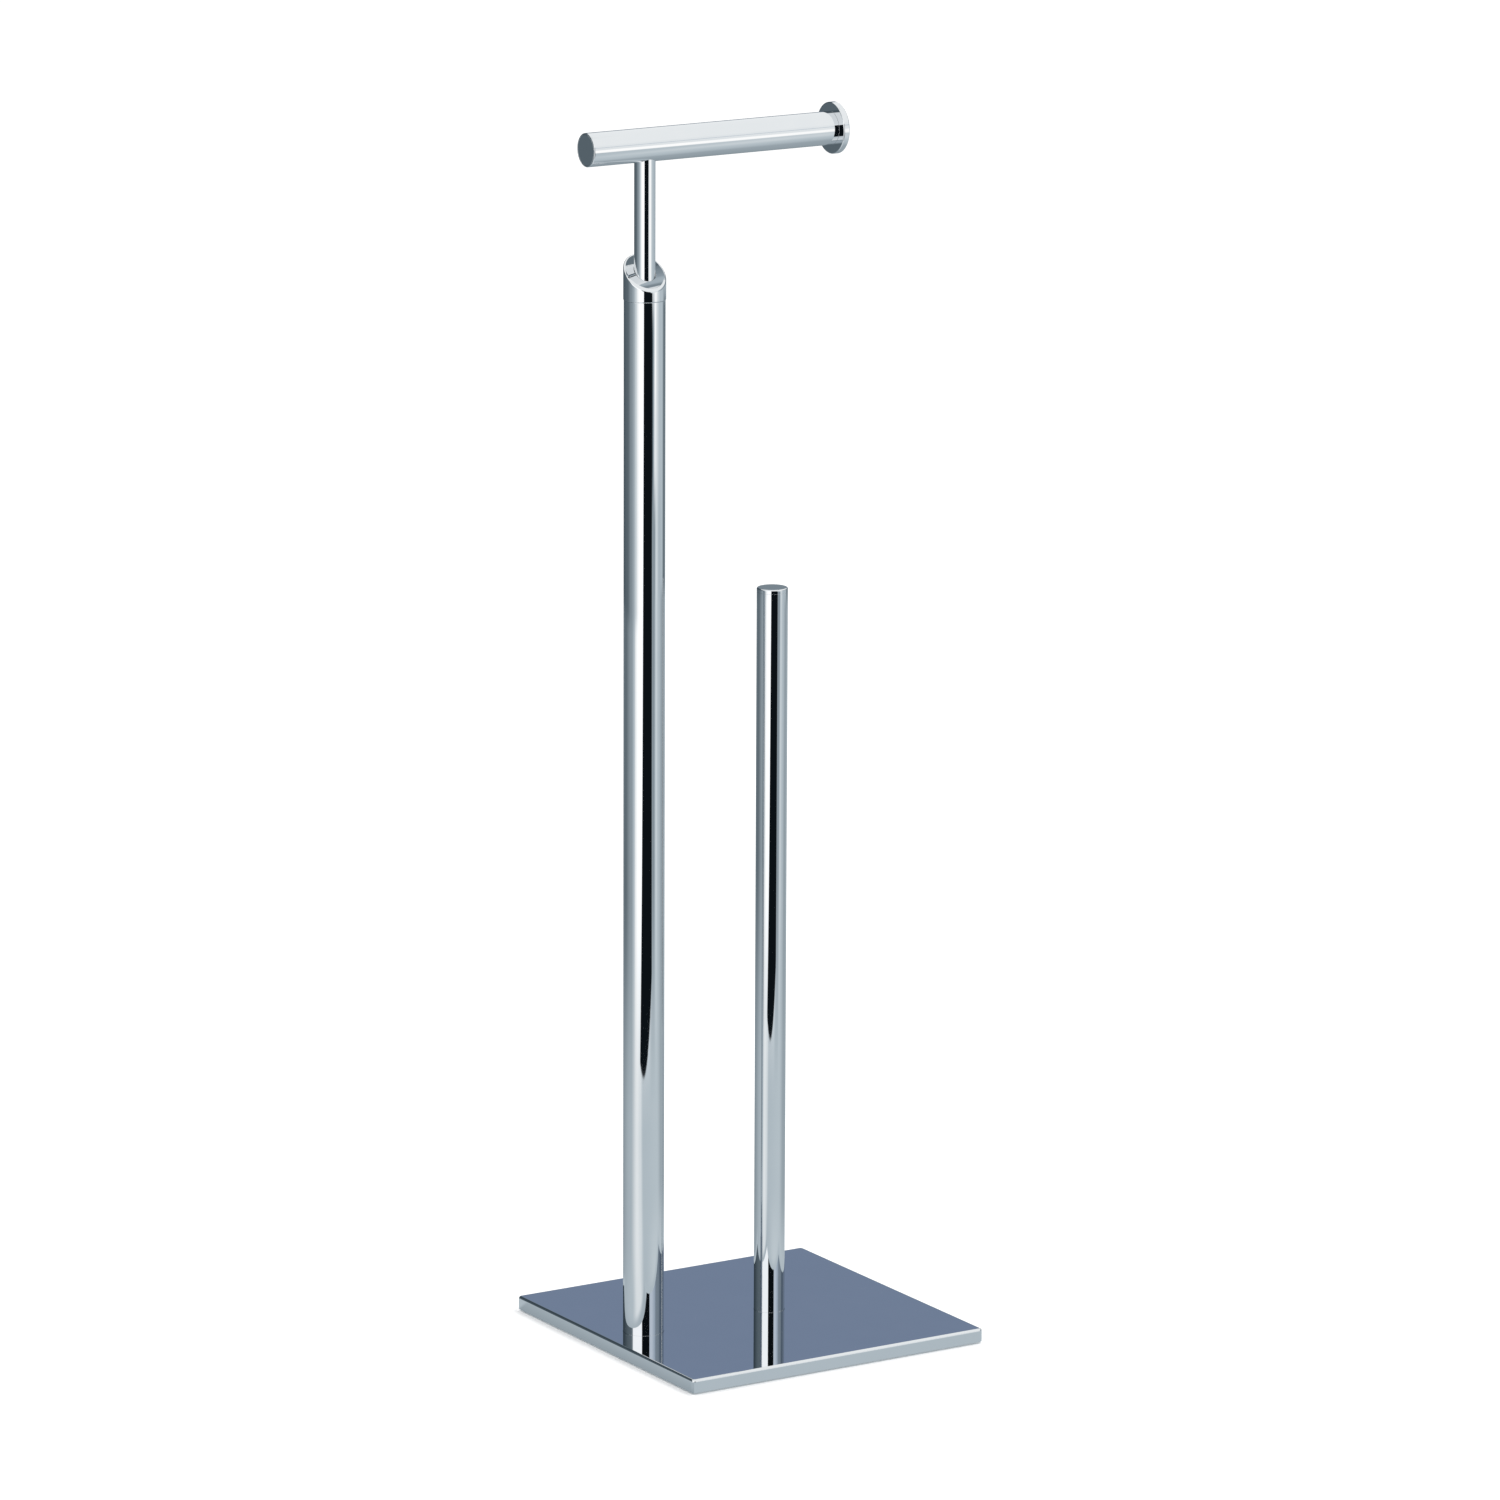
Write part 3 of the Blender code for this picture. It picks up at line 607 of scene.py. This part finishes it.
# ------------------------------------------------------------------- camera
P, A, ROLL = math.radians(12.9307), math.radians(-31.9609), math.radians(0.2341)
fwd = Vector((-math.sin(A) * math.cos(P), math.cos(A) * math.cos(P), -math.sin(P)))
right = Vector((math.cos(A), math.sin(A), 0.0))
up = right.cross(fwd)
r2 = math.cos(ROLL) * right + math.sin(ROLL) * up
u2 = -math.sin(ROLL) * right + math.cos(ROLL) * up
cam = bpy.data.objects.new("camera", bpy.data.cameras.new("camera"))
scene.collection.objects.link(cam)
rot = Matrix((r2, u2, -fwd)).transposed().to_4x4()
cam.matrix_world = Matrix.Translation((-2.56739, -4.12321, 1.46566)) @ rot
cam.data.lens = 205.60
cam.data.sensor_width = 36.0
cam.data.clip_start = 0.1
cam.data.clip_end = 60.0
scene.camera = cam

# ------------------------------------------------------------------- studio
scene.view_settings.view_transform = 'Standard'
scene.view_settings.look = 'None'
scene.view_settings.exposure = 0.0
scene.view_settings.gamma = 1.0

world = bpy.data.worlds.new("studio")
scene.world = world
world.use_nodes = True
bg = world.node_tree.nodes["Background"]
bg.inputs['Color'].default_value = (1.0, 1.0, 1.0, 1.0)
bg.inputs['Strength'].default_value = 1.25


def grid_plane(name, half, n=1):
    bm = bmesh.new()
    bmesh.ops.create_grid(bm, x_segments=n, y_segments=n, size=half)
    mesh = bpy.data.meshes.new(name)
    bm.to_mesh(mesh)
    bm.free()
    ob = bpy.data.objects.new(name, mesh)
    scene.collection.objects.link(ob)
    return ob


def only_in_reflections(ob):
    ob.visible_camera = False
    ob.visible_diffuse = False
    ob.visible_shadow = False
    ob.visible_transmission = False
    ob.visible_volume_scatter = False
    ob.visible_glossy = True


# white floor; seen from below it is clear
floor = grid_plane("floor", 40.0)
floor.visible_glossy = False
m, net, bsdf = new_material("floor_white")
# the floor's colour carries a painted contact shadow along the plate's left side, and painted light under the rim where
# the real shade falls
co = net.add('ShaderNodeSeparateXYZ')
net.link(net.add('ShaderNodeTexCoord').outputs['Object'], co.inputs[0])
beyond_x = net.math('SUBTRACT', net.math('ABSOLUTE', net.math('SUBTRACT', co.outputs[0], PLATE_CX)), PLATE_HALF)
beyond_y = net.math('SUBTRACT', net.math('ABSOLUTE', co.outputs[1]), PLATE_HALF)
# painted shadow: mask for the darker floor colour along the plate's left side
painted_shade_left = net.math('MULTIPLY', net.step(beyond_x, 7.0 * MM, 1.0 * MM), net.step(co.outputs[0], 0.0, -80.0 * MM))
painted_shade_left = net.math('MULTIPLY', painted_shade_left, net.step(beyond_y, 6.0 * MM, -2.0 * MM))
col = net.mix(painted_shade_left, (0.86, 0.86, 0.86, 1.0), (0.76, 0.765, 0.77, 1.0))
# painted light: the floor under the plate's rim is made lighter to cancel its shade
painted_light_under_rim = net.step(net.math('MAXIMUM', beyond_x, beyond_y), 0.6 * MM, 0.0)
net.link(net.mix(painted_light_under_rim, col, (0.98, 0.98, 0.98, 1.0)), bsdf.inputs['Base Color'])
bsdf.inputs['Roughness'].default_value = 0.9
bsdf.inputs['Specular IOR Level'].default_value = 0.0
clear = net.add('ShaderNodeBsdfTransparent')
back = net.add('ShaderNodeNewGeometry').outputs['Backfacing']
mixer = net.add('ShaderNodeMixShader')
net.link(back, mixer.inputs[0])
net.link(bsdf.outputs[0], mixer.inputs[1])
net.link(clear.outputs[0], mixer.inputs[2])
net.link(mixer.outputs[0], m.node_tree.nodes["Material Output"].inputs[0])
floor.data.materials.append(m)


def shown(r, g, b):
    """Light colour that the chrome shows as this 8-bit screen colour."""
    out = []
    for c, k in zip((r, g, b), CHROME):
        c /= 255.0
        out.append((c / 12.92 if c <= 0.04045 else ((c + 0.055) / 1.055) ** 2.4) / k / 1.3)
    return tuple(out)


def cool(level, blue=0):
    """The studio's slightly cool grey of this brightness; 255 is a lit white surface."""
    if level >= 255:
        return (1.0, 1.0, 1.0)
    away = 255 - level
    return shown(level - min(0.18 * away, 12.0, 0.3 * level) - blue / 6.0, level,
                 level + min(0.11 * away, 8.0, 0.25 * level) + blue)


def round_about(net, x, y):
    """Direction round the upright axis, 0 to 1, starting and ending straight behind the stand."""
    return net.math('ADD', net.math('DIVIDE', net.math('ARCTAN2', x, net.math('MULTIPLY', y, -1.0)), 2 * math.pi), 0.5)


def way(deg):
    """Place in that range of a direction in degrees: -90 is the front, 0 the right, -180 the left."""
    return (deg + 270.0) / 360.0


def sweep(net, u, stops):
    """Greys round the studio, from (direction, brightness) stops."""
    return net.ramp(u, [(way(st[0]), cool(*st[1:])) for st in stops])


def between(net, u, a, b, soft_a, soft_b):
    """1 between the directions a and b, fading out over soft_a and soft_b degrees."""
    return net.math('MULTIPLY', net.step(u, way(a - soft_a), way(a)), net.step(u, way(b + soft_b), way(b)))


# the table top and the room round it, as the chrome sees them
table = grid_plane("studio_table", 14.0)
only_in_reflections(table)
m, net, bsdf = new_material("studio_table")
m.node_tree.nodes.remove(bsdf)
m.cycles.emission_sampling = 'NONE'
co = net.add('ShaderNodeSeparateXYZ')
net.link(net.add('ShaderNodeTexCoord').outputs['Object'], co.inputs[0])
x, y = co.outputs[0], co.outputs[1]
u = round_about(net, x, y)
r = net.math('SQRT', net.math('ADD', net.math('MULTIPLY', x, x), net.math('MULTIPLY', y, y)))
near = sweep(net, u, [
    (-270, 142), (-195, 176), (-160, 226), (-145, 216), (-130, 185), (-50, 190), (-5, 160), (90, 142)])
mid = sweep(net, u, [
    (-270, 112), (-242, 104), (-193, 150), (-180, 182), (-166, 243), (-156, 255), (-100, 255), (-79, 146),
    (-66, 142), (-60, 188), (-53, 207), (-38, 187), (-4, 153), (28, 168), (50, 142), (90, 112)])
rear_left = [
    (-270, 84), (-226, 98), (-196, 140), (-183, 163), (-169, 205), (-158, 242), (-150, 255), (-100, 255)]
rear_right = [(-10, 186), (-2, 166), (6, 118), (20, 102), (36, 139), (90, 84)]
far = sweep(net, u, rear_left + [
    (-82, 150), (-64, 144), (-58, 198), (-51, 213), (-37, 184), (-28, 179)] + rear_right)
back = sweep(net, u, rear_left + [
    (-84, 30), (-76, 98), (-70, 178), (-64, 232), (-28, 186)] + rear_right)
end = sweep(net, u, rear_left + [
    (-79, 228), (-60, 252), (-42, 209), (-27, 184)] + rear_right)
beside = sweep(net, u, [
    (-270, 150), (-182, 184), (-163, 219), (-153, 219), (-134, 181), (-78, 197), (40, 178), (90, 150)])
near = net.mix(net.step(r, 0.16, 0.32), beside, near)
# close to the plate's rim: painted contact shade on the table, darkest along the plate's left side
beyond_x = net.math('SUBTRACT', net.math('ABSOLUTE', net.math('SUBTRACT', x, PLATE_CX)), PLATE_HALF)
beyond_y = net.math('SUBTRACT', net.math('ABSOLUTE', y), PLATE_HALF)
beyond = net.math('MAXIMUM', beyond_x, beyond_y)
# painted shade: mask for the darker table colour along the plate's left side
painted_shade_left = net.math('MULTIPLY', net.step(net.math('SUBTRACT', beyond_x, beyond_y), -2.0 * MM, 2.0 * MM), net.step(x, 0.0, -0.06))
rim = net.mix(painted_shade_left, cool(184) + (1.0,), net.ramp(net.math('MULTIPLY', beyond, 1000.0 / 40.0),
                                                    [(0.0, cool(152)), (0.35, cool(171)), (1.0, cool(178))], 'LINEAR'))
near = net.mix(net.step(beyond, 0.030, 0.055), rim, near)
# under the plate: painted shade, for its lower side to reflect
near = net.mix(net.step(beyond, -2.0 * MM, -5.0 * MM), near, cool(172) + (1.0,))
col = net.mix(net.step(r, 0.50, 1.20), near, mid)
col = net.mix(net.step(r, 2.05, 2.16), col, far)
col = net.mix(net.step(r, 2.38, 2.74), col, back)
col = net.mix(net.math('MAXIMUM', net.step(r, 3.35, 3.75),
                       net.math('MULTIPLY', net.step(r, 2.80, 3.20), between(net, u, -61.0, -57.5, 3, 3))), col, end)
# pale wall at the right, behind the dark one
col = net.mix(net.math('MULTIPLY', net.step(r, 3.45, 3.60), between(net, u, -4, 30, 8, 14)), col, cool(173) + (1.0,))
# in front, past the table's edge, the room is dark
ca, sa = math.cos(math.radians(-122.0)), math.sin(math.radians(-122.0))
ahead = net.math('ADD', net.math('MULTIPLY', x, ca), net.math('MULTIPLY', y, sa))
aside = net.math('ADD', net.math('MULTIPLY', x, sa), net.math('MULTIPLY', y, -ca))
dark = net.math('MULTIPLY', net.step(ahead, 0.652, 0.668),
                net.math('MULTIPLY', net.step(aside, 0.30, 0.26), net.step(u, way(-79), way(-82))))
col = net.mix(dark, col, cool(17) + (1.0,))
em = net.add('ShaderNodeEmission')
net.link(col, em.inputs[0])
em.inputs[1].default_value = 1.3
net.link(em.outputs[0], m.node_tree.nodes["Material Output"].inputs[0])
table.data.materials.append(m)

# the tent over it
bm = bmesh.new()
R, rows, cols = 13.0, 24, 96
rings = []
for i in range(rows):
    e = math.radians(-1.0 + 91.0 * i / rows)
    rings.append([bm.verts.new((R * math.cos(e) * math.cos(2 * math.pi * k / cols),
                                R * math.cos(e) * math.sin(2 * math.pi * k / cols), R * math.sin(e)))
                  for k in range(cols)])
top = bm.verts.new((0, 0, R))
for a, b in zip(rings, rings[1:]):
    for k in range(cols):
        j = (k + 1) % cols
        bm.faces.new((a[k], b[k], b[j], a[j]))
for k in range(cols):
    bm.faces.new((rings[-1][k], top, rings[-1][(k + 1) % cols]))
mesh = bpy.data.meshes.new("studio_tent")
bm.to_mesh(mesh)
bm.free()
mesh.shade_smooth()
tent = bpy.data.objects.new("studio_tent", mesh)
scene.collection.objects.link(tent)
only_in_reflections(tent)
m, net, bsdf = new_material("studio_tent")
m.node_tree.nodes.remove(bsdf)
m.cycles.emission_sampling = 'NONE'
co = net.add('ShaderNodeSeparateXYZ')
net.link(net.add('ShaderNodeTexCoord').outputs['Object'], co.inputs[0])
x, y, z = co.outputs
u = round_about(net, x, y)
r = net.math('SQRT', net.math('ADD', net.math('MULTIPLY', x, x), net.math('MULTIPLY', y, y)))
el = net.math('MULTIPLY', net.math('ARCTAN2', z, r), 180.0 / math.pi)
low = sweep(net, u, [
    (-270, 64), (-196, 102), (-186, 130), (-180, 255), (-100, 255), (-84, 210), (-53, 228), (-45, 179), (-30, 158),
    (-8, 146), (10, 115), (36, 102), (48, 128), (62, 128), (74, 64), (90, 60)])
# a strip of sky seen through the far openings
strip = sweep(net, u, [
    (-87, 200, 7), (-76, 202, 7), (-57, 178, 7), (-51, 150, 6), (-45, 136, 3), (-29, 132, 4), (-12, 92, 7),
    (5, 100, 9), (12, 118, 9), (27, 122, 12), (36, 94, 12), (46, 123, 16), (62, 123, 16)])
low = net.mix(net.math('MULTIPLY', net.math('MULTIPLY', net.step(el, 15.6, 16.0), net.step(el, 17.7, 17.3)),
                       between(net, u, -86, 28, 2, 7)), low, strip)
low = net.mix(net.math('MULTIPLY', net.math('MULTIPLY', net.step(el, 13.6, 14.6), net.step(el, 19.6, 18.6)),
                       between(net, u, 28, 64, 7, 6)), low, strip)
high = cool(232) + (1.0,)
# the backdrop stands higher behind the left half
tall = net.math('MAXIMUM', net.step(u, way(58), way(70)), net.step(u, way(-194), way(-206)))
rise = net.step(net.math('SUBTRACT', el, net.math('MULTIPLY', tall, 16.0)), 24.0, 30.0)
rise = net.math('MAXIMUM', rise, net.math('MULTIPLY', net.step(el, 19.0, 21.5), between(net, u, 34, 56, 8, 6)))
col = net.mix(rise, low, high)
dark = net.math('MULTIPLY', net.math('MULTIPLY', net.step(u, way(-130.5), way(-128.5)), net.step(u, way(-86), way(-88))),
                net.step(el, 26.0, 21.0))
col = net.mix(dark, col, cool(15) + (1.0,))
# open vent near the top of the tent, towards the right
vent = Vector((math.cos(math.radians(7.0)) * math.cos(math.radians(67.3)),
               math.sin(math.radians(7.0)) * math.cos(math.radians(67.3)), math.sin(math.radians(67.3)))) / R
lined_up = net.math('ADD', net.math('ADD', net.math('MULTIPLY', x, vent.x), net.math('MULTIPLY', y, vent.y)),
                    net.math('MULTIPLY', z, vent.z))
col = net.mix(net.step(lined_up, math.cos(math.radians(6.5)), math.cos(math.radians(5.0))), col, cool(110) + (1.0,))
col = net.mix(net.math('MULTIPLY', net.step(el, 4.5, 2.5), between(net, u, -76, -59.5, 8, 5)), col, cool(252) + (1.0,))
em = net.add('ShaderNodeEmission')
net.link(col, em.inputs[0])
em.inputs[1].default_value = 1.3
net.link(em.outputs[0], m.node_tree.nodes["Material Output"].inputs[0])
tent.data.materials.append(m)

# soft overhead light; the chrome sees the tent instead of it
light = bpy.data.lights.new("softbox", 'AREA')
light.shape = 'RECTANGLE'
light.size, light.size_y = 2.4, 1.8
light.energy = 22.0
lamp = bpy.data.objects.new("softbox", light)
scene.collection.objects.link(lamp)
lamp.location = (0.5, -0.3, 2.6)
lamp.rotation_euler = (Vector((0.0, 0.0, 0.2)) - lamp.location).to_track_quat('-Z', 'Y').to_euler()
lamp.visible_glossy = False
lamp.visible_camera = False
